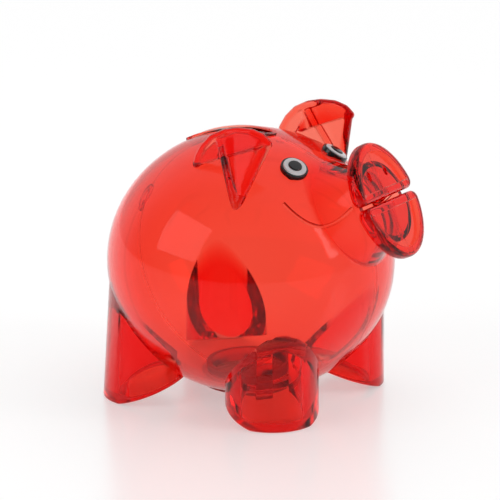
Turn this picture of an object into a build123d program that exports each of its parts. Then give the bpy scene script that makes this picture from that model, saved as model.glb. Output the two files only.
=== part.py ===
from build123d import *
import os
from math import atan2, cos, degrees, radians, sin, sqrt

# A hollow moulded piggy bank. Two half shells, left and right, meet on the plane y = 0.
# The pig faces +X, its left side is +Y, and it stands on the plane z = 0.
# Lengths are in millimetres, angles in degrees.

os.makedirs("parts", exist_ok=True)

# ---- Body ----
body_radius = 50.8          # the body is round in plan
body_half_height = 46.7
belly_clearance = 0.8       # between the belly and the surface that the feet stand on
wall = 2.0                  # thickness of the moulded shells

# ---- Seam lip: a ridge on the right shell that locates in a groove of the left shell ----
lip_height = 1.2            # how far the ridge stands past the seam plane
lip_thickness = 0.8
lip_root = 0.5              # how deep the ridge is rooted in its own shell
lip_clearance = 0.05        # on each side of the ridge

# ---- Coin slot, along the seam on the crown ----
slot_length = 33.0
slot_width = 4.8
slot_from_centre = -8.3     # slot centre, in front of the body centre
slot_lip_height = 0.7       # raised rim round the slot
slot_lip_width = 1.6

# ---- Snout: a waisted neck that carries two pads with a mouth gap between them ----
snout_tilt = 28.0           # axis of the snout above the horizontal
snout_reach = 63.2          # from the body centre to the front of the pads
pad_thickness = 4.8
pad_half_width = 17.6
pad_half_height = 20.6
pad_rim = 3.2               # width of the raised rim
pad_rim_rounding = 1.7
pad_recess = 1.4            # depth of the face inside the rim
pad_corner = 3.0            # rounding of the pads' corners beside the mouth
mouth_gap = 1.8
mouth_height = 0.5          # gap centre above the snout axis
neck_radius = 14.4          # at the waist
neck_root_share = 0.6       # radius where the flare starts, as a share of the body's half-height
neck_root_depth = 25.0      # from the front of the pads back to the flare's start
neck_bow = 3.4              # how far the flare is hollowed
nostril_radius = 1.3
nostril_depth = 1.6
nostril_spacing = 11.0
nostril_above_axis = 9.5

# ---- Legs: hollow columns with a sole that slants up inwards from a flat toe ----
leg_radius = 16.3           # at the ground
leg_top = 44.0              # height of the column's hidden top above the body's bottom
front_leg_x = 23.1          # leg axes from the body centre
front_leg_y = 23.2
front_leg_draft = 0.8
rear_leg_x = -27.1
rear_leg_y = 24.9
rear_leg_draft = 3.8
sole_slant = 21.0
toe_length = 4.0            # flat part of the sole, measured in from the outermost point
pocket_side = 5.0           # plastic beside the hollow inside a leg
pocket_face = 2.4           # plastic between the hollow and the leg's outer face
pocket_top = 28.0           # height of the hollow's top above the ground
pocket_rounding = 1.0

# ---- Ears: a wall that rises from the head, a flap that folds out and down, and a web behind them ----
ear_thickness = 2.6
ear_rear = (-1.1, -31.0, -11.1)     # the right ear's corners, from the crown of the body
ear_back_corner = (5.7, -28.0, 2.5)
ear_front_corner = (23.7, -25.8, 3.7)
ear_tip = (16.0, -35.2, -18.7)
ear_root = (2.0, -23.0, -8.0)       # where the web behind the flap meets the head
ear_arch = 3.0                      # how far the fold bows up between its two corners
ear_fold_radius = 1.6
ear_hem_radius = 1.2

# ---- Tail: a teardrop loop in relief on the seam ----
tail_height = 17.5          # its middle above the body centre
tail_length = 12.5
tail_width = 6.4
tail_radius = 1.1

# ---- Eyes: a black button pegged into the shell, a white disc in it and a black pupil ----
eye_above_snout = 21.9      # seen from the side, square to the snout's axis
eye_apart = 27.2
eye_radius = 4.8
eye_height = 1.4
eye_peg_radius = 1.6
eye_peg_clearance = 0.05
eye_peg_length = 4.2
eye_rim = 0.7
eye_recess = 0.9
eye_white_crown = 0.5       # how far the white disc stands above the recess
eye_pupil_radius = 2.4
eye_pupil_sink = 0.5
eye_pupil_height = 1.0

# ---- Belly hole and stopper ----
hole_radius = 16.0
seat_radius = 19.5          # flat recess round the hole
seat_height = 4.2           # of the recess above the ground
stopper_clearance = 0.05
stopper_flange_radius = 18.2
stopper_flange = 1.2
stopper_skirt = 1.6         # wall of the hollow cup
stopper_depth = 5.0         # how far the cup reaches up past the flange
stopper_tab_length = 9.0
stopper_tab_width = 3.0
stopper_tab_height = 1.2

# ---- Places that follow from the sizes above ----
body_z = belly_clearance + body_half_height
neck_root_radius = neck_root_share * body_half_height
rim_centre_out = snout_reach - pad_rim_rounding
rim_centre_down = pad_half_height - pad_rim_rounding
snout_front = (rim_centre_out * cos(radians(snout_tilt)) + rim_centre_down * sin(radians(snout_tilt))
               + pad_rim_rounding)
body_x = -(snout_front - body_radius) / 2       # puts the whole pig's middle over the origin
pad_back = snout_reach - pad_thickness
seat_z = seat_height - body_z
snout_plane = Plane(origin=(0, 0, 0), x_dir=(0, 1, 0),
                    z_dir=(cos(radians(snout_tilt)), 0, sin(radians(snout_tilt))))
big = 4 * body_radius
upward = (Align.CENTER, Align.CENTER, Align.MIN)
downward = (Align.CENTER, Align.CENTER, Align.MAX)


def ellipsoid(inset=0.0):
    """The body's outer surface, or a surface `inset` inside it, as a solid about its centre."""
    radius = body_radius - inset
    half_height = body_half_height - inset
    half = Ellipse(radius, half_height) & Rectangle(radius, 2 * half_height, align=(Align.MIN, Align.CENTER))
    return revolve(Plane.XZ * half, Axis.Z)


def surface_plane(x, y, z):
    """A plane that touches the body at a point of its surface, its normal pointing out."""
    normal = Vector(x / body_radius**2, y / body_radius**2, z / body_half_height**2).normalized()
    side = normal.cross(Vector(0, 0, 1)).normalized()
    return Plane(origin=(x, y, z), x_dir=side, z_dir=normal)


def neck(inset=0.0):
    """The waisted neck between the body and the pads, about the snout's axis."""
    root_height = snout_reach - neck_root_depth - 2 * inset
    root = (neck_root_radius - inset, root_height)
    waist = (neck_radius - inset, pad_back)
    middle_r = (root[0] + waist[0]) / 2 - neck_bow
    middle_h = (root[1] + waist[1]) / 2 - neck_bow / 2
    flare = ThreePointArc(root, (middle_r, middle_h), waist)
    outline = flare + Polyline(waist, (0, waist[1]), (0, root[1]), root)
    profile = make_face(outline)
    return snout_plane * revolve(Plane.XZ * profile, Axis.Z)


def pad_outline(side, inset=0.0):
    """The upper (side 1) or lower (side -1) half of the snout's disc, cut off at the mouth."""
    disc = Ellipse(pad_half_width - inset, pad_half_height - inset)
    lip = mouth_height + side * (mouth_gap / 2 + inset)
    edge = Align.MIN if side > 0 else Align.MAX
    half = disc & Pos(0, lip) * Rectangle(big, big, align=(Align.CENTER, edge))
    return fillet(half.vertices(), max(pad_corner - inset, 0.5))


def pad(side):
    """One snout pad: a plate with a rounded rim and a recessed face."""
    plate = extrude(pad_outline(side), pad_thickness)
    plate = fillet(plate.edges().filter_by(GeomType.LINE, reverse=True).group_by(Axis.Z)[-1], pad_rim_rounding)
    face = extrude(pad_outline(side, pad_rim), pad_thickness)
    plate -= Pos(0, 0, pad_thickness - pad_recess) * face
    return snout_plane * Pos(0, 0, pad_back) * plate


def right_nostril():
    """A shallow blind hole in the upper pad's face."""
    hole = Cylinder(nostril_radius, nostril_depth, align=downward)
    face = snout_reach - pad_recess
    return snout_plane * Pos(-nostril_spacing / 2, nostril_above_axis, face) * hole


def above_sole():
    """The room above a leg's slanting sole, the leg's axis on Z and its toe towards +X."""
    toe = leg_radius - toe_length
    inner = toe - big * cos(radians(sole_slant))
    rise = big * sin(radians(sole_slant))
    side = Polyline((toe, 0), (big, 0), (big, big), (inner, big), (inner, rise), close=True)
    return extrude(Plane.XZ * make_face(side), big, both=True)


def leg(draft):
    """One leg's column with its slanting sole."""
    top_radius = leg_radius - leg_top * sin(radians(draft))
    return Cone(leg_radius, top_radius, leg_top, align=upward) & above_sole()


def leg_pocket(draft):
    """The hollow inside a leg, narrower than the leg but near to its outer face."""
    radius = leg_radius - pocket_side
    core = Cone(radius, radius - pocket_top * sin(radians(draft)), pocket_top, align=upward)
    core = fillet(core.edges().group_by(Axis.Z)[-1], pocket_rounding)
    return Pos(pocket_side - pocket_face, 0, 0) * core & Pos(0, 0, wall) * above_sole()


def right_feet(piece):
    """The same piece in the right side's front and rear leg, turned outwards."""
    places = ((front_leg_x, -front_leg_y, front_leg_draft), (rear_leg_x, -rear_leg_y, rear_leg_draft))
    return [Pos(x, y, -body_z) * Rot(0, 0, degrees(atan2(y, x))) * piece(draft) for x, y, draft in places]


def ear_point(corner):
    """One of the ear's corners, from the body centre."""
    return Vector(corner[0], corner[1], corner[2] + body_half_height)


def ear_fold():
    """The arched line along the top of the ear, in the plane of the ear's wall."""
    back = ear_point(ear_back_corner)
    front = ear_point(ear_front_corner)
    rear = ear_point(ear_rear)
    along = (front - back).normalized()
    rise = (back - rear) - along * (back - rear).dot(along)
    crown = (back + front) * 0.5 + rise.normalized() * ear_arch
    return ThreePointArc(back, crown, front)


def ear_sheet(outline):
    """A flat plate of the ear's thickness inside a closed outline."""
    return extrude(make_face(outline), ear_thickness / 2, both=True)


def round_edge(start, end, radius):
    """A round bar from one point to another, with round ends."""
    line = end - start
    rod = Plane(origin=start, z_dir=line) * Cylinder(radius, line.length, align=upward)
    return rod + Pos(start) * Sphere(radius) + Pos(end) * Sphere(radius)


def right_ear():
    """The right ear: its wall, its folded flap, the web, the rolled fold and the hems beside the tip."""
    fold = ear_fold()
    rear, back, front = ear_point(ear_rear), ear_point(ear_back_corner), ear_point(ear_front_corner)
    tip, root = ear_point(ear_tip), ear_point(ear_root)
    ear = ear_sheet(fold + Polyline(front, rear, back))
    ear += ear_sheet(Polyline(back, front, tip, close=True))
    ear += ear_sheet(Polyline(back, tip, root, close=True))
    ear += sweep(Plane(origin=fold @ 0, z_dir=fold % 0) * Circle(ear_fold_radius), path=fold)
    ear += round_edge(back, tip, ear_fold_radius)
    ear += round_edge(front, tip, ear_hem_radius)
    ear += round_edge(rear, back, ear_fold_radius)
    return ear


def tail():
    """A teardrop loop that lies on the body over the seam, its point downwards."""
    x = -body_radius * sqrt(1 - (tail_height / body_half_height) ** 2)
    place = surface_plane(x, 0, tail_height)
    bulb = tail_width / 2 - tail_radius
    drop = tail_length - 2 * tail_radius - 2 * bulb
    ring = Torus(bulb, tail_radius)
    point = Vector(0, -drop - bulb, 0)
    arms = [round_edge(Vector(s * bulb, 0, 0), point, tail_radius) for s in (-1, 1)]
    loop = ring + arms[0] + arms[1]
    return place * Rot(0, 0, 180) * Pos(0, drop / 2, 0) * loop


def slot_cut():
    """The straight-sided opening that a coin drops through."""
    ends = SlotOverall(slot_length, slot_width)
    return Pos(slot_from_centre, 0, 0) * extrude(ends, big)


def slot_rim():
    """A low raised rim round the coin slot, following the crown."""
    band = SlotOverall(slot_length + 2 * slot_lip_width, slot_width + 2 * slot_lip_width)
    column = Pos(slot_from_centre, 0, 0) * extrude(band, big)
    return column & ellipsoid(-slot_lip_height)


def belly_seat():
    """A plate that closes the recess round the belly hole from the inside."""
    plate = Cylinder(seat_radius + wall, wall, align=upward)
    skirt = Cylinder(seat_radius + wall, 2 * wall, align=downward)
    return (Pos(0, 0, seat_z) * (plate + skirt)) & ellipsoid()


def belly_cut():
    """The recess under the seat and the round hole through it."""
    recess = Pos(0, 0, seat_z) * Cylinder(seat_radius, big, align=downward)
    return recess + Cylinder(hole_radius, body_half_height + 1, align=downward)


def eye_plane(side):
    """The plane that an eye sits on, where the body's surface lies eye_above_snout off the snout's axis."""
    y = side * eye_apart / 2
    rise = sin(radians(snout_tilt))
    run = cos(radians(snout_tilt))
    flat = 1 / body_radius**2
    steep = 1 / body_half_height**2
    square = run**2 * flat + rise**2 * steep
    half_linear = eye_above_snout * rise * run * (steep - flat)
    constant = eye_above_snout**2 * (rise**2 * flat + run**2 * steep) - 1 + y**2 * flat
    along = (sqrt(half_linear**2 - square * constant) - half_linear) / square
    return surface_plane(along * run - eye_above_snout * rise, y, along * rise + eye_above_snout * run)


def right_half():
    """The right half of the hollow pig, up to the seam plane."""
    outer = ellipsoid() + neck() + pad(1) + pad(-1)
    inner = ellipsoid(wall) + neck(wall)
    for column in right_feet(leg):
        outer += column
    for hollow in right_feet(leg_pocket):
        inner += hollow
    shell = outer - inner
    for relief in (right_ear(), tail(), slot_rim()):
        shell += relief - ellipsoid(wall / 2)
    shell += belly_seat()
    shell -= belly_cut()
    shell -= slot_cut()
    shell -= eye_plane(-1) * Cylinder(eye_peg_radius + eye_peg_clearance, 3 * wall)
    shell -= right_nostril()
    return shell & Box(big, big, big, align=(Align.CENTER, Align.MAX, Align.CENTER))


def seam_band(clearance=0.0):
    """The lip's ring along the seam: a thin layer in the middle of the wall."""
    outside = (wall - lip_thickness) / 2 - clearance
    inside = (wall + lip_thickness) / 2 + clearance
    layer = ellipsoid(outside) - ellipsoid(inside)
    reach = lip_height + clearance
    slab = Box(big, reach + lip_root, big, align=(Align.CENTER, Align.MIN, Align.CENTER))
    band = layer & Pos(0, -lip_root, 0) * slab
    band -= snout_plane * Cylinder(neck_root_radius + wall, big, align=upward)
    slot_room = slot_length + 2 * slot_lip_width
    band -= Pos(slot_from_centre, 0, 0) * Box(slot_room, big, big, align=upward)
    band -= Cylinder(seat_radius + 2 * wall, big, align=downward)
    return band


def eye_base(side):
    """A black button with a shallow cup on top and a peg underneath."""
    button = Cylinder(eye_radius, eye_height + wall / 2, align=upward)
    button = Pos(0, 0, -wall / 2) * button
    button = fillet(button.edges().group_by(Axis.Z)[-1], eye_rim / 3)
    cup = Cylinder(eye_radius - eye_rim, eye_recess, align=downward)
    button -= Pos(0, 0, eye_height) * cup
    button = eye_plane(side) * button - ellipsoid() - neck()
    peg = Cylinder(eye_peg_radius, eye_peg_length, align=downward)
    peg = eye_plane(side) * Pos(0, 0, (eye_height - eye_recess) / 2) * peg
    return button + peg


def eye_white(side):
    """The white disc, seated in the cup, with a low crown."""
    radius = eye_radius - eye_rim
    disc = Cylinder(radius, eye_recess + eye_white_crown, align=upward)
    disc = fillet(disc.edges().group_by(Axis.Z)[-1], eye_white_crown)
    socket_floor = eye_recess + eye_white_crown - eye_pupil_sink
    disc -= Pos(0, 0, socket_floor) * Cylinder(eye_pupil_radius, eye_pupil_sink, align=upward)
    return eye_plane(side) * Pos(0, 0, eye_height - eye_recess) * disc


def eye_pupil(side):
    """The black pupil, a small low dome set into the white disc."""
    dome = Cylinder(eye_pupil_radius, eye_pupil_height, align=upward)
    dome = fillet(dome.edges().group_by(Axis.Z)[-1], eye_pupil_height * 0.45)
    seat = eye_height + eye_white_crown - eye_pupil_sink
    return eye_plane(side) * Pos(0, 0, seat) * dome


def belly_stopper():
    """A flanged cup that plugs the belly hole, with a finger tab across its underside."""
    plug_radius = hole_radius - stopper_clearance
    cup = Cylinder(plug_radius, stopper_depth, align=upward)
    cup -= Cylinder(plug_radius - stopper_skirt, stopper_depth, align=upward)
    flange = Cylinder(stopper_flange_radius, stopper_flange, align=downward)
    flange = fillet(flange.edges().group_by(Axis.Z)[0], stopper_flange / 3)
    tab = Box(stopper_tab_length, stopper_tab_width, stopper_tab_height, align=downward)
    tab = Pos(0, 0, -stopper_flange) * tab
    return Pos(0, 0, seat_z) * (cup + flange + tab)


def write(solid, name):
    """Puts a finished piece in its place over the origin and writes it."""
    placed = Pos(body_x, 0, body_z) * solid
    export_step(placed, f"parts/{name}.step")


def main():
    right = right_half()
    left = mirror(right, Plane.XZ)
    write(left - seam_band(lip_clearance), "left_shell")
    write(right + seam_band(), "right_shell")
    write(belly_stopper(), "belly_stopper")
    for name, side in (("left", 1), ("right", -1)):
        write(eye_base(side), f"{name}_eye_base")
        write(eye_white(side), f"{name}_eye_white")
        write(eye_pupil(side), f"{name}_eye_pupil")


main()
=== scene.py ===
# %% [markdown]
# # A moulded piggy bank
#
# The real bank is two half shells of clear red plastic, injection moulded and bonded along the pig's
# middle, with button eyes and a stopper in the belly. Clear plastic hides nothing: the inner faces, the
# wall's thickness and the hollow legs all show, so every piece here is a closed solid with a real wall, and
# not a painted skin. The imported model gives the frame: its boxes and its joints say where each piece goes.

# %% Load the frame
from math import comb, cos, pi, radians, sin, sqrt

import bpy
from mathutils import Matrix, Vector


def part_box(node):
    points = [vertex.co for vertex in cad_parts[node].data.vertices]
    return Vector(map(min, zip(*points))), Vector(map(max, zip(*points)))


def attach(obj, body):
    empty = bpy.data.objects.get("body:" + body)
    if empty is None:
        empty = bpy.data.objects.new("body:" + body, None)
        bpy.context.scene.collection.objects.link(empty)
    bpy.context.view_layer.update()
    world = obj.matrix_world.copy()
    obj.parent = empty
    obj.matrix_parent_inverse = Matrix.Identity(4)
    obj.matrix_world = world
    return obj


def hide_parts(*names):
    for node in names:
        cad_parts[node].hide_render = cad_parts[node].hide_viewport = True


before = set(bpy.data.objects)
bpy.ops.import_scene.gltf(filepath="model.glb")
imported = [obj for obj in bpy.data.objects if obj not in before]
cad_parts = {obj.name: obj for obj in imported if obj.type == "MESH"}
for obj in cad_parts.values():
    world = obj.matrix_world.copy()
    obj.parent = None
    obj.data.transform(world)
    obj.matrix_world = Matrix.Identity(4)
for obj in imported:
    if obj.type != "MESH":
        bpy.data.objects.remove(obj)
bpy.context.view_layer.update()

# %% [markdown]
# ## Sizes
#
# The frame is in metres. The shell's box gives the body's radius and where its middle stands, and the other
# sizes are the moulding's own, in millimetres from the body's middle, with +X to the snout and -Y to the
# pig's right.

# %% Sizes that come from the frame
MM = 0.001
shell_low, shell_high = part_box("left_shell")
body_radius = shell_high.y / MM
body_half_height = 46.7
belly_clearance = 0.8
middle = Vector((shell_low.x + shell_high.y, 0, (belly_clearance + body_half_height) * MM))
wall = 2.0
seam_gap = 0.05
print("body radius", round(body_radius, 2), "middle", [round(v, 4) for v in middle])


def at(x, y, z):
    """A place given in millimetres from the body's middle, in the frame's metres."""
    return middle + Vector((x, y, z)) * MM


# %% [markdown]
# ## Working with operators
#
# Every operator acts on what is selected, so each step starts by clearing the selection. A few small
# helpers do what a modeller's hands do: pick one object, pick faces by where they lie, apply a modifier,
# and cut or join two solids. Booleans are used where the mould itself has crisp meeting lines, because
# subdivision would round them away.

# %% Helpers for selecting and editing
def pick(obj):
    """Selects one object only and makes it the active one."""
    if bpy.context.mode != "OBJECT":
        bpy.ops.object.mode_set(mode="OBJECT")
    bpy.ops.object.select_all(action="DESELECT")
    obj.select_set(True)
    bpy.context.view_layer.objects.active = obj
    return obj


def added(name):
    """Names the primitive that was just added and settles its place into its mesh."""
    obj = bpy.context.object
    obj.name = name
    obj.data.name = name
    return settle(obj)


def settle(obj):
    """Puts an object's place, turn and scale into its mesh."""
    pick(obj)
    bpy.ops.object.transform_apply(location=True, rotation=True, scale=True)
    return obj


def edit(obj, kind="FACE", test=None):
    """Opens an object in edit mode with the wanted vertices, edges or faces selected."""
    pick(obj)
    parts = {"VERT": obj.data.vertices, "EDGE": obj.data.edges, "FACE": obj.data.polygons}
    bpy.ops.object.mode_set(mode="EDIT")
    bpy.ops.mesh.select_mode(type=kind)
    bpy.ops.mesh.select_all(action="SELECT" if test is None else "DESELECT")
    if test is None:
        return
    bpy.ops.object.mode_set(mode="OBJECT")
    for part in parts[kind]:
        part.select = bool(test(part))
    bpy.ops.object.mode_set(mode="EDIT")


def leave():
    """Leaves edit mode."""
    bpy.ops.object.mode_set(mode="OBJECT")


def modify(obj, kind, **settings):
    """Adds a modifier with its settings and applies it."""
    pick(obj)
    modifier = obj.modifiers.new(kind.title(), kind)
    for key, value in settings.items():
        setattr(modifier, key, value)
    bpy.ops.object.modifier_apply(modifier=modifier.name)
    return obj


def join_solid(body, tool, how="UNION"):
    """Joins a solid to another, or cuts it out of it, and throws the tool away."""
    modify(body, "BOOLEAN", operation=how, solver="EXACT", object=tool)
    bpy.data.objects.remove(tool, do_unlink=True)
    return body


def cut(body, tool):
    """Cuts one solid out of another."""
    return join_solid(body, tool, "DIFFERENCE")


def slice_off(obj, point, normal):
    """Cuts a solid with a plane, drops the side that the normal points to and closes the cut."""
    edit(obj)
    bpy.ops.mesh.bisect(plane_co=point, plane_no=normal, use_fill=True, clear_outer=True, threshold=1e-7)
    leave()
    return obj


def outward(obj):
    """Merges doubles and makes the faces of a plain closed solid point outwards."""
    edit(obj)
    bpy.ops.mesh.remove_doubles(threshold=1e-7)
    bpy.ops.mesh.normals_make_consistent(inside=False)
    leave()
    return obj


def smooth(obj, degrees=32):
    """Shades a piece smooth, except over edges sharper than the angle."""
    pick(obj)
    bpy.ops.object.shade_smooth_by_angle(angle=radians(degrees))
    return obj


# %% [markdown]
# ## The body
#
# The body is nearly a ball, a little lower than it is wide. A lathe or a ball primitive both give it, and a
# UV sphere stretched to size is the quickest. Its poles fall in the coin slot and in the belly hole, where
# they are cut away.

# %% The body's outer and inner surface
def ball(name, inset=0.0, segments=160):
    """The body's outer surface, or the surface that lies inset inside it."""
    radius = (body_radius - inset) * MM
    bpy.ops.mesh.primitive_uv_sphere_add(segments=segments, ring_count=segments // 2, radius=radius,
                                         location=middle)
    bpy.ops.transform.resize(value=(1, 1, (body_half_height - inset) / (body_radius - inset)))
    return added(name)


outer = ball("right_shell_moulding")
inner = ball("hollow", wall)
print("body", len(outer.data.vertices), "points,", len(inner.data.vertices), "inside")

# %% [markdown]
# ## The snout's neck
#
# The neck flares out of the face and is waisted behind the pads. It could be spun from a profile. Here one
# ring is extruded along the axis, step by step, and each new ring is scaled to the hollow curve, as one
# would do by hand.

# %% The neck
snout_tilt = radians(28.0)
snout_reach = 63.2
pad_thickness = 4.8
neck_waist = 14.4
neck_root = 28.0
neck_root_depth = 25.0
neck_bow = 3.4
neck_bow_power = 0.9
neck_sink = 0.5
neck_steps = 16
along_snout = Vector((cos(snout_tilt), 0, sin(snout_tilt)))
snout_turn = Matrix.Rotation(pi / 2 - snout_tilt, 4, "Y") @ Matrix.Rotation(pi / 2, 4, "Z")


def to_snout(obj):
    """Turns a piece modelled along Z, with Y up the face, to the snout's axis through the body's middle."""
    obj.matrix_world = Matrix.Translation(middle) @ snout_turn @ obj.matrix_world
    return settle(obj)


def neck(name, inset=0.0):
    """The flared neck, one ring at a time."""
    root_height = snout_reach - neck_root_depth - 2 * inset
    rise = snout_reach - pad_thickness + neck_sink - root_height
    start = neck_root - inset
    end = neck_waist - inset
    bpy.ops.mesh.primitive_circle_add(vertices=96, radius=start * MM, fill_type="NGON",
                                      location=(0, 0, root_height * MM))
    obj = added(name)
    edit(obj)
    last = start
    for step in range(1, neck_steps + 1):
        share = step / neck_steps
        radius = start + (end - start) * share - neck_bow * sin(pi * share) ** neck_bow_power
        bpy.ops.mesh.extrude_region_move(TRANSFORM_OT_translate={"value": (0, 0, rise / neck_steps * MM)})
        bpy.ops.transform.resize(value=(radius / last, radius / last, 1))
        last = radius
    leave()
    return to_snout(outward(obj))


join_solid(outer, neck("neck"))
join_solid(inner, neck("neck_hollow", wall))
print("neck joined,", len(outer.data.polygons), "faces outside")

# %% [markdown]
# ## The snout's pads
#
# Each pad is a thick half disc with a rounded rim round a sunken face, and the mouth runs between the two.
# The disc is cut straight at the mouth, its two corners are rounded, it is extruded to its thickness, and
# the face is inset and pushed in. The rim's edges are bevelled last, because the bevel follows the finished
# outline.

# %% The pads
pad_half_width = 17.6
pad_half_height = 20.6
pad_rim = 3.2
pad_recess = 1.4
pad_corner = 3.2
mouth_height = 0.5
mouth_gap = 1.0
rim_rounding = 1.7
corner_margin = 0.4
outline_share = 0.86


def pad(name, side):
    """The upper pad for side 1 and the lower pad for side -1."""
    lip = (mouth_height + side * mouth_gap / 2) * MM
    bpy.ops.mesh.primitive_circle_add(vertices=128, radius=pad_half_height * MM, fill_type="NGON",
                                      location=(0, 0, (snout_reach - pad_thickness) * MM))
    bpy.ops.transform.resize(value=(pad_half_width / pad_half_height, 1, 1))
    obj = added(name)
    edit(obj)
    bpy.ops.mesh.bisect(plane_co=(0, lip, 0), plane_no=(0, -side, 0), clear_outer=True, threshold=1e-7)
    leave()
    edit(obj, "VERT", lambda v: 1e-6 < abs(v.co.y - lip) < (pad_corner + corner_margin) * MM)
    bpy.ops.mesh.dissolve_verts()
    leave()
    edit(obj, "VERT", lambda v: abs(v.co.y - lip) < 1e-6 and abs(v.co.x) > neck_waist * MM)
    bpy.ops.mesh.bevel(offset=pad_corner * MM, segments=6, affect="VERTICES")
    bpy.ops.mesh.select_mode(type="FACE")
    bpy.ops.mesh.select_all(action="SELECT")
    bpy.ops.mesh.extrude_region_move(TRANSFORM_OT_translate={"value": (0, 0, pad_thickness * MM)})
    bpy.ops.mesh.inset(thickness=pad_rim * MM)
    bpy.ops.mesh.extrude_region_move(TRANSFORM_OT_translate={"value": (0, 0, -pad_recess * MM)})
    leave()
    outward(obj)
    top = snout_reach * MM
    bottom = (snout_reach - pad_thickness) * MM
    points = obj.data.vertices

    def outer_edge(edge):
        """True on the outline's sharp front and back edges."""
        a, b = (points[i].co for i in edge.vertices)
        level = abs(a.z - b.z) < 1e-7 and (abs(a.z - top) < 1e-6 or abs(a.z - bottom) < 1e-6)
        return level and all(on_outline(p) for p in (a, b))

    def on_outline(p):
        """True on the pad's outline, outside the rim's inner edge."""
        reach = (p.x / (pad_half_width * MM)) ** 2 + (p.y / (pad_half_height * MM)) ** 2
        return reach > outline_share or abs(p.y - lip) < pad_rim * 0.5 * MM

    edit(obj, "EDGE", outer_edge)
    bpy.ops.mesh.bevel(offset=rim_rounding * MM, segments=6, affect="EDGES")
    leave()
    return to_snout(outward(obj))


for pad_name, pad_side in (("upper_pad", 1), ("lower_pad", -1)):
    join_solid(outer, pad(pad_name, pad_side))
print("pads joined,", len(outer.data.polygons), "faces outside")

# %% [markdown]
# ## The legs
#
# Each leg is an upright column that the sole cuts off at a slant, so that only the toe meets the ground.
# Inside, the core of the mould leaves a smaller pocket, and the thick plastic round that pocket is what
# reads as a dark arch.

# %% The legs and their pockets
leg_radius = 16.3
leg_top = 44.0
toe_length = 4.0
sole_slant = radians(21.0)
pocket_side = 5.0
pocket_top = 34.0
leg_rounding = 5.0
pocket_rounding = 1.0
leg_places = {"front": (23.1, -23.2, 0.8), "rear": (-27.1, -24.9, 3.8)}


def column(name, radius, height, draft):
    """An upright column on the ground at the origin, narrower towards its top."""
    top_radius = radius - height * sin(radians(draft))
    bpy.ops.mesh.primitive_cone_add(vertices=128, radius1=radius * MM, radius2=top_radius * MM,
                                    depth=height * MM, location=(0, 0, height / 2 * MM))
    return added(name)


def plant(obj, x, y):
    """Turns a leg's piece outwards and stands it in its place."""
    ground = at(x, y, 0)
    ground.z = 0
    heading = Vector((x, y)).angle_signed(Vector((1, 0)))
    obj.matrix_world = Matrix.Translation(ground) @ Matrix.Rotation(heading, 4, "Z")
    return settle(obj)


def leg(place):
    """One leg with its slanting sole and rounded edge."""
    x, y, draft = leg_places[place]
    obj = column(place + "_leg", leg_radius, leg_top, draft)
    toe = ((leg_radius - toe_length) * MM, 0, 0)
    slice_off(obj, toe, (-sin(sole_slant), 0, -cos(sole_slant)))
    modify(obj, "BEVEL", width=leg_rounding * MM, segments=8, limit_method="ANGLE", angle_limit=radians(50))
    return plant(outward(obj), x, y)


def pocket(place):
    """The hollow in a leg, narrower than the leg all round. Its top is lost in the body's own hollow."""
    x, y, draft = leg_places[place]
    radius = leg_radius - pocket_side
    obj = column(place + "_pocket", radius, pocket_top, draft)
    toe = Vector((radius - toe_length, 0, wall)) * MM
    slice_off(obj, toe, (-sin(sole_slant), 0, -cos(sole_slant)))
    slice_off(obj, (0, 0, wall * MM), (0, 0, -1))
    modify(obj, "BEVEL", width=pocket_rounding * MM, segments=4, limit_method="ANGLE",
           angle_limit=radians(50))
    return plant(outward(obj), x, y)


for place in leg_places:
    join_solid(outer, leg(place))
    join_solid(inner, pocket(place))
print("legs joined,", len(outer.data.polygons), "faces outside")

# %% [markdown]
# ## The ears
#
# An ear is a hood: a wall that stands up from the head, a flap that folds over outwards and hangs down to a
# tip, and a web that closes it behind. They are cut as flat plates with an arched top. A voxel remesh melts
# the plates into one and smoothing rounds their edges, which gives the soft, thick look of a moulded ear.

# %% The right ear
ear_sheet = 2.4
ear_crest = [(-4.6, 38.4), (-3.6, 42.0), (-1.4, 45.6), (2.0, 49.0), (6.8, 51.4), (12.0, 52.6), (17.6, 52.7),
             (21.6, 51.6), (24.0, 49.6)]
ear_wall_y = -27.4
ear_front = (23.6, -27.0, 50.0)
ear_tip = (16.3, -35.2, 28.8)
ear_fold = (6.0, -28.6, 49.6)
ear_root = (3.4, -22.5, 40.0)
front_rim_radius = 1.55
rear_rim_radius = 1.75
crest_rim_radius = 1.5
melt_size = 0.4


def plate(name, corners, thickness):
    """A flat plate through the given corners, thickened evenly to both sides."""
    mesh = bpy.data.meshes.new(name)
    mesh.from_pydata([at(*corner) for corner in corners], [], [range(len(corners))])
    obj = bpy.data.objects.new(name, mesh)
    bpy.context.collection.objects.link(obj)
    return modify(obj, "SOLIDIFY", thickness=thickness * MM, offset=0)


def rod(name, start, end, radius):
    """A round bar between two places, with a ball at its end."""
    a, b = at(*start), at(*end)
    turn = (b - a).to_track_quat("Z", "Y").to_euler()
    bpy.ops.mesh.primitive_cylinder_add(vertices=24, radius=radius * MM, depth=(b - a).length,
                                        location=(a + b) / 2, rotation=turn)
    bar = added(name)
    bpy.ops.mesh.primitive_uv_sphere_add(segments=24, ring_count=12, radius=radius * MM, location=b)
    tip = added(name + "_end")
    return join_solid(bar, tip)


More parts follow.
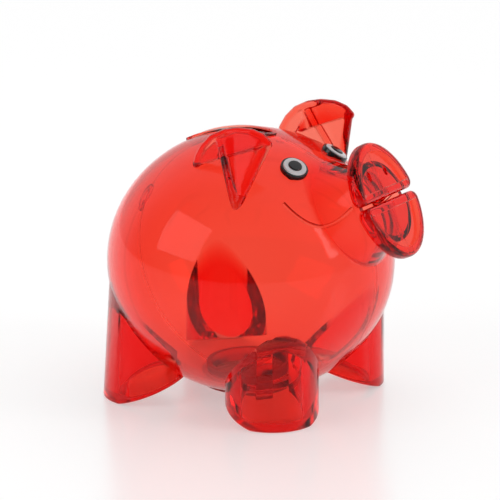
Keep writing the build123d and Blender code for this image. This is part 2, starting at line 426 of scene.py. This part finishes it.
def right_ear():
    """The plates and rolled rims of the ear, melted into one solid."""
    crest = [(x, ear_wall_y, z) for x, z in ear_crest]
    flap_top = [(x, ear_wall_y - 1.2, z - 0.3) for x, z in ear_crest[4:8]]
    pieces = [plate("ear_wall", crest, ear_sheet),
              plate("ear_flap", [ear_fold, *flap_top[1:], ear_front, ear_tip], ear_sheet),
              plate("ear_web", [ear_fold, ear_tip, ear_root], ear_sheet),
              rod("ear_front_rim", ear_front, ear_tip, front_rim_radius),
              rod("ear_rear_rim", ear_fold, ear_tip, rear_rim_radius)]
    pieces += [rod("ear_crest_rim", a, b, crest_rim_radius) for a, b in zip(crest[:-1], crest[1:])]
    pick(pieces[0])
    for piece in pieces[1:]:
        piece.select_set(True)
    bpy.ops.object.join()
    ear = bpy.context.object
    ear.name = "right_ear"
    modify(ear, "REMESH", mode="VOXEL", voxel_size=melt_size * MM)
    return modify(ear, "SMOOTH", factor=0.5, iterations=6)


join_solid(outer, right_ear())
print("ear joined,", len(outer.data.polygons), "faces outside")

# %% [markdown]
# ## The smile
#
# The smile is a fine groove on the cheek and the neck. It could be inset in the mesh, but the line runs
# over two forms that meet. A curve with four points is drawn near the face, snapped to it, and given a
# round section that cuts it.

# %% The smile's groove
smile = [(29.0, -26.0, 30.0), (38.0, -26.0, 22.5), (40.0, -17.0, 17.5), (49.0, -14.5, 28.5)]
smile_steps = 16
groove_radius = 0.7


def smile_place(share):
    """The place on the face nearest to the smile's Bezier curve, from the cheek at 0 to the mouth at 1."""
    weights = [comb(3, k) * share ** k * (1 - share) ** (3 - k) for k in range(4)]
    near = sum((at(*point) * weight for point, weight in zip(smile, weights)), Vector())
    return outer.closest_point_on_mesh(near)[1]


def mouth_line():
    """A round bar swept along the smile."""
    curve = bpy.data.curves.new("mouth_line", "CURVE")
    curve.dimensions = "3D"
    curve.bevel_depth = groove_radius * MM
    curve.bevel_resolution = 4
    curve.use_fill_caps = True
    spline = curve.splines.new("POLY")
    spline.points.add(smile_steps)
    for step, point in enumerate(spline.points):
        point.co = (*smile_place(step / smile_steps), 1)
    obj = bpy.data.objects.new("mouth_line", curve)
    bpy.context.collection.objects.link(obj)
    pick(obj)
    bpy.ops.object.convert(target="MESH")
    return outward(bpy.context.object)


cut(outer, mouth_line())
print("smile cut,", len(outer.data.polygons), "faces outside")

# %% [markdown]
# ## The nostrils
#
# A nostril is a shallow oval dimple. A stretched ball that is cut out of the pad leaves it, with a crisp
# edge as on the moulding. The left one comes with the left half.

# %% The right nostril
nostril_radius = 1.0
nostril_from_seam = 5.5
nostril_height = 9.5


def nostril():
    """A stretched ball that sits in the upper pad's face."""
    face = snout_reach - pad_recess
    bpy.ops.mesh.primitive_uv_sphere_add(segments=32, ring_count=16, radius=nostril_radius * MM,
                                         location=(-nostril_from_seam * MM, nostril_height * MM, face * MM))
    bpy.ops.transform.resize(value=(1.1, 1.8, 1.2))
    return to_snout(added("nostril"))


cut(outer, nostril())
print("nostril cut,", len(outer.data.polygons), "faces outside")

# %% [markdown]
# ## The tail
#
# The tail is a teardrop in low relief. It could be swept along a curve. Here a ring's lower side is drawn
# out to a point with proportional editing, and the ring is laid on the rear so that half of its thickness
# stands out.

# %% The tail
tail_height = 17.5
tail_length = 12.5
tail_width = 6.4
tail_tube = 1.1


def tail():
    """A ring whose lower side is drawn out to a point, laid on the rear of the body."""
    ring_radius = tail_width / 2 - tail_tube
    bpy.ops.mesh.primitive_torus_add(major_segments=48, minor_segments=16, major_radius=ring_radius * MM,
                                     minor_radius=tail_tube * MM)
    loop = added("tail")
    low = -ring_radius * MM
    edit(loop, "VERT", lambda v: v.co.y < 0.8 * low and abs(v.co.x) < -0.5 * low)
    bpy.ops.transform.translate(value=(0, -(tail_length - tail_width) * MM, 0), use_proportional_edit=True,
                                proportional_edit_falloff="SHARP", proportional_size=tail_width * MM)
    leave()
    rear = -body_radius * sqrt(1 - (tail_height / body_half_height) ** 2)
    slope = Vector((rear / body_radius ** 2, tail_height / body_half_height ** 2))
    lean = pi / 2 - slope.angle(Vector((-1, 0)))
    raise_up = Matrix.Translation((0, (tail_length - tail_width) / 2 * MM, 0))
    turn = Matrix.Rotation(-lean, 4, "Y") @ Matrix.Rotation(-pi / 2, 4, "Z")
    loop.matrix_world = Matrix.Translation(at(rear, 0, tail_height)) @ turn @ raise_up
    return settle(loop)


join_solid(outer, tail())
print("tail joined,", len(outer.data.polygons), "faces outside")

# %% [markdown]
# ## The coin slot's rim
#
# The slot is a straight opening with a low raised rim. A round block is pulled apart into a long one with
# round ends, and the part of it that lies under a slightly larger body is the rim: its top then follows the
# crown.

# %% The slot's block and its rim
slot_length = 33.0
slot_width = 4.8
slot_middle = -8.3
slot_rim_width = 1.6
slot_rim_height = 0.7


def stadium(name, length, width, low, high):
    """An upright block with round ends, centred on the slot."""
    radius = width / 2
    bpy.ops.mesh.primitive_cylinder_add(vertices=64, radius=radius * MM, depth=(high - low) * MM,
                                        location=at(slot_middle, 0, (low + high) / 2))
    obj = added(name)
    middle_x = at(slot_middle, 0, 0).x
    for side in (-1, 1):
        edit(obj, "VERT", lambda v: (v.co.x - middle_x) * side > -1e-6)
        bpy.ops.transform.translate(value=(side * (length / 2 - radius) * MM, 0, 0))
        leave()
    return obj


def slot_rim():
    """The raised rim, trimmed to just above the crown."""
    rim = stadium("slot_rim", slot_length + 2 * slot_rim_width, slot_width + 2 * slot_rim_width, 34, 50)
    return join_solid(rim, ball("rim_cap", -slot_rim_height), "INTERSECT")


join_solid(outer, slot_rim())
print("slot's rim joined,", len(outer.data.polygons), "faces outside")

# %% [markdown]
# ## Hollowing the shell
#
# The inner solid is cut out of the outer one, and what is left is the wall. Solidify would do it for a
# plain ball, but here the legs and the snout have hollows of their own. The belly has a flat recess round
# its hole, with the wall carried up behind it. The openings come last, so that they go right through.

# %% The hollow, the belly's recess and hole, and the slot
hole_radius = 16.0
seat_radius = 19.5
seat_height = 4.2
seat_z = seat_height - belly_clearance - body_half_height


def upright(name, radius, low, high):
    """An upright cylinder under the body's middle."""
    bpy.ops.mesh.primitive_cylinder_add(vertices=128, radius=radius * MM, depth=(high - low) * MM,
                                        location=at(0, 0, (low + high) / 2))
    return added(name)


cut(inner, upright("belly_seat", seat_radius + wall, seat_z - 2 * wall, seat_z + wall))
cut(outer, inner)
cut(outer, upright("recess", seat_radius, seat_z - 20, seat_z))
cut(outer, upright("hole", hole_radius, seat_z - 20, seat_z + 10))
cut(outer, stadium("slot", slot_length, slot_width, 30, 60))
print("shell", len(outer.data.polygons), "faces")

# %% [markdown]
# ## The eyes
#
# Each eye is three small turned pieces: a black button with a shallow cup and a peg, a white disc in the
# cup and a black pupil set into the disc. They are modelled flat at the origin, one on the other, and then
# laid on the head with one matrix, whose place comes from the pupil's box. The peg gets its hole in the
# shell. The left eye is a mirror image, made with the left half.

# %% The right eye's pieces and the peg's hole
eye_radius = 4.8
eye_height = 1.4
eye_rim = 0.7
eye_recess = 0.9
eye_step = 0.5
peg_radius = 1.6
peg_length = 4.2
peg_clearance = 0.05
pupil_radius = 2.4
button_rounding = 0.3
disc_rounding = 0.45
cup_radius = eye_radius - eye_rim
cup_floor = eye_height - eye_recess
white_top = eye_height + eye_step
pupil_low, pupil_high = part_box("right_eye_pupil")
pupil_place = ((pupil_low + pupil_high) / 2 - middle) / MM
eye_normal = Vector((pupil_place.x / body_radius ** 2, pupil_place.y / body_radius ** 2,
                     pupil_place.z / body_half_height ** 2)).normalized()
eye_spot = pupil_place - eye_normal * white_top
eye_matrix = Matrix.Translation(at(*eye_spot)) @ eye_normal.to_track_quat("Z", "Y").to_matrix().to_4x4()


def disc(name, radius, low, high, rounding=0.0):
    """A flat round block of the right eye, its upper edge rounded, laid on the head."""
    bpy.ops.mesh.primitive_cylinder_add(vertices=64, radius=radius * MM, depth=(high - low) * MM,
                                        location=(0, 0, (low + high) / 2 * MM))
    obj = added(name)
    if rounding:
        edit(obj, "EDGE", lambda e: all(obj.data.vertices[i].co.z > (high - 0.01) * MM for i in e.vertices))
        bpy.ops.mesh.bevel(offset=rounding * MM, segments=5, affect="EDGES")
        leave()
    obj.matrix_world = eye_matrix
    return settle(obj)


def eye_base():
    """The black button: a round block cut to the head's curve, with a cup in its top and a peg below."""
    button = disc("right_eye_button", eye_radius, -0.5, eye_height, button_rounding)
    cut(button, disc("cup", cup_radius, cup_floor, eye_height + 1))
    cut(button, ball("head"))
    return join_solid(button, disc("peg", peg_radius, cup_floor / 2 - peg_length, cup_floor / 2))


def eye_white():
    """The white disc, with a socket for the pupil."""
    white = disc("right_eye_disc", cup_radius, cup_floor, white_top, disc_rounding)
    return cut(white, disc("socket", pupil_radius, white_top - eye_step, white_top + 1))


def eye_pupil():
    """The black pupil, which stands a little above the white disc."""
    return disc("right_eye_bead", pupil_radius, white_top - eye_step, white_top + eye_step, disc_rounding)


right_eye = {"base": eye_base(), "white": eye_white(), "pupil": eye_pupil()}
cut(outer, disc("peg_hole", peg_radius + peg_clearance, -peg_length - 2, 3))
print("eye", {part: smooth(piece).name for part, piece in right_eye.items()})

# %% [markdown]
# ## Parting the shell
#
# Everything so far was built whole, with the ear and legs of the right side. One cut just beside the middle
# plane makes the right half with flat seam faces, and its mirror image is the left half. The hair's breadth
# between them is real: it is what makes the seam show as a fine dark line in clear plastic.

# %% The two halves
def mirrored(obj, name):
    """A copy on the left side with its own mesh."""
    other = obj.copy()
    other.data = obj.data.copy()
    other.name = other.data.name = name
    bpy.context.collection.objects.link(other)
    other.scale = (1, -1, 1)
    settle(other)
    edit(other)
    bpy.ops.mesh.flip_normals()
    leave()
    return other


slice_off(outer, (0, -seam_gap * MM, 0), (0, 1, 0))
smooth(outer)
right_shell = outer
left_shell = mirrored(right_shell, "left_shell_moulding")
left_eye = {part: mirrored(piece, piece.name.replace("right", "left")) for part, piece in right_eye.items()}
for half in (right_shell, left_shell):
    print(half.name, len(half.data.polygons), "faces")

# %% [markdown]
# ## The belly stopper
#
# A soft cup with a flange and a finger tab. A lathe would do it as well; three plain cylinders and a box
# are quicker.

# %% The stopper
plug_clearance = 0.05
plug_radius = hole_radius - plug_clearance
plug_wall = 1.6
plug_depth = 5.0
flange_radius = 18.2
flange_thickness = 1.2
flange_rounding = 0.4
tab_size = (9.0, 3.0, 1.3)
tab_middle = seat_z - 1.75
stopper = upright("belly_plug", plug_radius, seat_z, seat_z + plug_depth)
cut(stopper, upright("cup_room", plug_radius - plug_wall, seat_z, seat_z + plug_depth + 1))
flange = upright("flange", flange_radius, seat_z - flange_thickness, seat_z)
flange_low = at(0, 0, seat_z - flange_thickness).z
edit(flange, "EDGE", lambda e: all(flange.data.vertices[i].co.z < flange_low + 1e-6 for i in e.vertices))
bpy.ops.mesh.bevel(offset=flange_rounding * MM, segments=4, affect="EDGES")
leave()
join_solid(stopper, flange)
bpy.ops.mesh.primitive_cube_add(size=MM, location=at(0, 0, tab_middle))
bpy.ops.transform.resize(value=tab_size)
join_solid(stopper, added("tab"))
smooth(stopper)
print("stopper", len(stopper.data.polygons), "faces")

# %% [markdown]
# ## The finishes
#
# Clear coloured plastic has no surface colour of its own. White light goes through, and the dye takes green
# and blue out of it with every millimetre, so a thin wall is orange-red, two walls are deeper, and an edge
# seen end-on is maroon. That is a glass shader with a volume that absorbs, not a red paint.

# %% Small helpers for materials
def colour(code):
    """An sRGB hex colour as linear red, green and blue, with an alpha of 1."""
    channels = [int(code[i:i + 2], 16) / 255 for i in (0, 2, 4)]
    return (*[c / 12.92 if c <= 0.04045 else ((c + 0.055) / 1.055) ** 2.4 for c in channels], 1)


def per_mm(size):
    """The scale that gives a noise pattern spots of this size in millimetres."""
    return 1 / (size * MM)


def node(tree, kind, links=None, **settings):
    """Adds a node, sets its properties and sockets, and links its inputs."""
    new = tree.nodes.new(kind)
    for key, value in settings.items():
        if key in new.inputs:
            new.inputs[key].default_value = value
        else:
            setattr(new, key, value)
    for socket, source in (links or {}).items():
        tree.links.new(source, new.inputs[socket])
    return new


def new_material(name):
    """A new material with an empty node tree and its output."""
    material = bpy.data.materials.new(name)
    material.use_nodes = True
    material.node_tree.nodes.clear()
    return material, material.node_tree, node(material.node_tree, "ShaderNodeOutputMaterial")


def clear_plastic(name, specks, detail, gloss_range, ripples, ripple_detail, bump, tint):
    """A clear dyed plastic. Specks vary the gloss, ripples are its bump, and the dye gives its colour."""
    material, tree, out = new_material(name)
    place = node(tree, "ShaderNodeTexCoord").outputs["Object"]
    speck = node(tree, "ShaderNodeTexNoise", {"Vector": place}, Scale=per_mm(specks), Detail=detail)
    gloss = node(tree, "ShaderNodeMapRange", {"Value": speck.outputs["Fac"]},
                 **{"To Min": gloss_range[0], "To Max": gloss_range[1]})
    ripple = node(tree, "ShaderNodeTexNoise", {"Vector": place}, Scale=per_mm(ripples), Detail=ripple_detail)
    relief = node(tree, "ShaderNodeBump", {"Height": ripple.outputs["Fac"]}, Strength=bump[0],
                  Distance=bump[1])
    shader = node(tree, "ShaderNodeBsdfPrincipled",
                  {"Roughness": gloss.outputs["Result"], "Normal": relief.outputs["Normal"]},
                  IOR=1.5, **{"Base Color": colour("FFFFFF"), "Transmission Weight": 1.0,
                              "Specular Tint": tint})
    dye = node(tree, "ShaderNodeVolumeAbsorption", Density=dye_density, Color=dye_colour)
    tree.links.new(shader.outputs["BSDF"], out.inputs["Surface"])
    tree.links.new(dye.outputs["Volume"], out.inputs["Volume"])
    return material


# %% Translucent red plastics
# The dye: green light dies within 1.5 mm, blue sooner, and red passes almost freely.
dye_density = 850.0
dye_colour = colour("FD7921")


def red_polystyrene():
    """Glossy and clear, with the faint waves that the melt leaves in a wall. Its gleam is a little red."""
    return clear_plastic("red_translucent_polystyrene_moulded", 11.1, 3.0, (0.015, 0.05), 22.2, 1.0,
                         (0.03, 0.002), colour("DAAAAA"))


def red_polyethylene():
    """Softer and hazier than the shell: the same dye under a waxy surface."""
    return clear_plastic("red_translucent_polyethylene_soft", 1.43, 4.0, (0.25, 0.4), 1.43, 4.0,
                         (0.08, 0.0003), colour("FFFFFF"))


# %% Opaque button plastic, black and white
def button_plastic(name, dark, light, low_gloss, high_gloss):
    """Moulded ABS: an even colour with a faint cloudiness, glossy, with a small moulding's slight waves."""
    material, tree, out = new_material(name)
    place = node(tree, "ShaderNodeTexCoord")
    cloud = node(tree, "ShaderNodeTexNoise", {"Vector": place.outputs["Object"]}, Scale=per_mm(2.0),
                 Detail=3.0)
    tint = node(tree, "ShaderNodeMix", {"Factor": cloud.outputs["Fac"]}, data_type="RGBA")
    tint.inputs[6].default_value = colour(dark)
    tint.inputs[7].default_value = colour(light)
    gloss = node(tree, "ShaderNodeMapRange", {"Value": cloud.outputs["Fac"]},
                 **{"To Min": low_gloss, "To Max": high_gloss})
    waves = node(tree, "ShaderNodeBump", {"Height": cloud.outputs["Fac"]}, Strength=0.05, Distance=0.0003)
    shader = node(tree, "ShaderNodeBsdfPrincipled",
                  {"Base Color": tint.outputs[2], "Roughness": gloss.outputs["Result"],
                   "Normal": waves.outputs["Normal"]}, IOR=1.53)
    tree.links.new(shader.outputs["BSDF"], out.inputs["Surface"])
    return material


# %% The pieces get their plastic and ride on the bank
shell_plastic = red_polystyrene()
black_plastic = button_plastic("black_abs_gloss", "101012", "1C1C20", 0.08, 0.2)
white_plastic = button_plastic("white_abs_gloss", "E4E4E8", "F2F2F4", 0.12, 0.25)
dress = [(right_shell, "right_shell", "bank", "red_translucent_plastic", shell_plastic),
         (left_shell, "left_shell", "bank", "red_translucent_plastic", shell_plastic),
         (stopper, "belly_stopper", "stopper", "stopper_plastic", red_polyethylene())]
for side, pieces in (("right", right_eye), ("left", left_eye)):
    for part, piece in pieces.items():
        plastic = white_plastic if part == "white" else black_plastic
        slot = "white_plastic" if part == "white" else "black_plastic"
        dress.append((piece, f"{side}_eye_{part}", "bank", slot, plastic))
for piece, cad_name, body, slot, plastic in dress:
    piece.data.materials.clear()
    piece.data.materials.append(plastic)
    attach(piece, body)
    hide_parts(cad_name)
print(len(dress), "pieces dressed")

# %% [markdown]
# ## The studio
#
# A white sweep with soft light from behind, above and through the acrylic sheet below: clear things look
# best when the light comes through them. The front is dimmer, so that the plastic keeps its colour, with
# softboxes for the gloss.

# %% Floor, light and camera
bpy.ops.object.select_all(action="DESELECT")
bpy.ops.mesh.primitive_plane_add(size=6, location=(0, 0, -0.0002))
floor = added("floor")
floor_material, floor_tree, floor_out = new_material("white_acrylic_sheet")
floor_shader = node(floor_tree, "ShaderNodeBsdfPrincipled", Metallic=0.15, Roughness=0.25, IOR=1.45,
                    **{"Base Color": colour("F3F3F3"), "Emission Color": colour("FFFFFF"),
                       "Emission Strength": 0.4})
floor_tree.links.new(floor_shader.outputs["BSDF"], floor_out.inputs["Surface"])
floor.data.materials.append(floor_material)

scene = bpy.context.scene
world = bpy.data.worlds.new("studio")
scene.world = world
world.use_nodes = True
sky = world.node_tree
sky_place = node(sky, "ShaderNodeTexCoord")
sky_parts = node(sky, "ShaderNodeSeparateXYZ", {"Vector": sky_place.outputs["Generated"]})
sky_depth = node(sky, "ShaderNodeMapRange", {"Value": sky_parts.outputs["Y"]},
                 interpolation_type="SMOOTHSTEP",
                 **{"From Min": -0.5, "From Max": 0.2, "To Min": 0.2, "To Max": 0.74})
sky_ray = node(sky, "ShaderNodeLightPath")
sky_pick = node(sky, "ShaderNodeMix",
                {"Factor": sky_ray.outputs["Is Camera Ray"], "A": sky_depth.outputs["Result"]},
                data_type="FLOAT")
sky_pick.inputs["B"].default_value = 1.05
sky.links.new(sky_pick.outputs["Result"], sky.nodes["Background"].inputs["Strength"])
sky.nodes["Background"].inputs["Color"].default_value = colour("FFFFFF")


def towards(azimuth, elevation):
    """The direction to a place round the pig, from -Y at azimuth 0 to +X at 90, in degrees."""
    turn, rise = radians(azimuth), radians(elevation)
    return Vector((sin(turn) * cos(rise), -cos(turn) * cos(rise), sin(rise)))


def softbox(name, azimuth, elevation, width, height, power):
    """A rectangular area light that faces the pig from the given side."""
    data = bpy.data.lights.new(name, "AREA")
    data.shape = "RECTANGLE"
    data.size = width
    data.size_y = height
    data.energy = power
    light = bpy.data.objects.new(name, data)
    scene.collection.objects.link(light)
    light.location = middle + towards(azimuth, elevation) * softbox_distance
    light.rotation_euler = towards(azimuth, elevation).to_track_quat("Z", "Y").to_euler()


softbox_distance = 1.1
softbox("front_left", -31, 29, 0.75, 0.6, 2.3)
softbox("right", 104, 24, 0.3, 0.5, 1.5)
scene.view_settings.view_transform = "Standard"
scene.cycles.max_bounces = 32
scene.cycles.transmission_bounces = 32
scene.cycles.glossy_bounces = 32

camera_distance = 0.7699
camera_target = at(-1.0, 0, -0.46)
toward_camera = towards(32.22, 15.96)
camera_data = bpy.data.cameras.new("camera")
camera = bpy.data.objects.new("camera", camera_data)
scene.collection.objects.link(camera)
camera.location = camera_target + toward_camera * camera_distance
camera.rotation_euler = (-toward_camera).to_track_quat("-Z", "Y").to_euler()
camera_data.sensor_width = 36
camera_data.lens = 156.9
camera_data.shift_x = 0.0028
camera_data.shift_y = 0.0193
camera_data.clip_start = 0.05
camera_data.clip_end = 20
scene.camera = camera
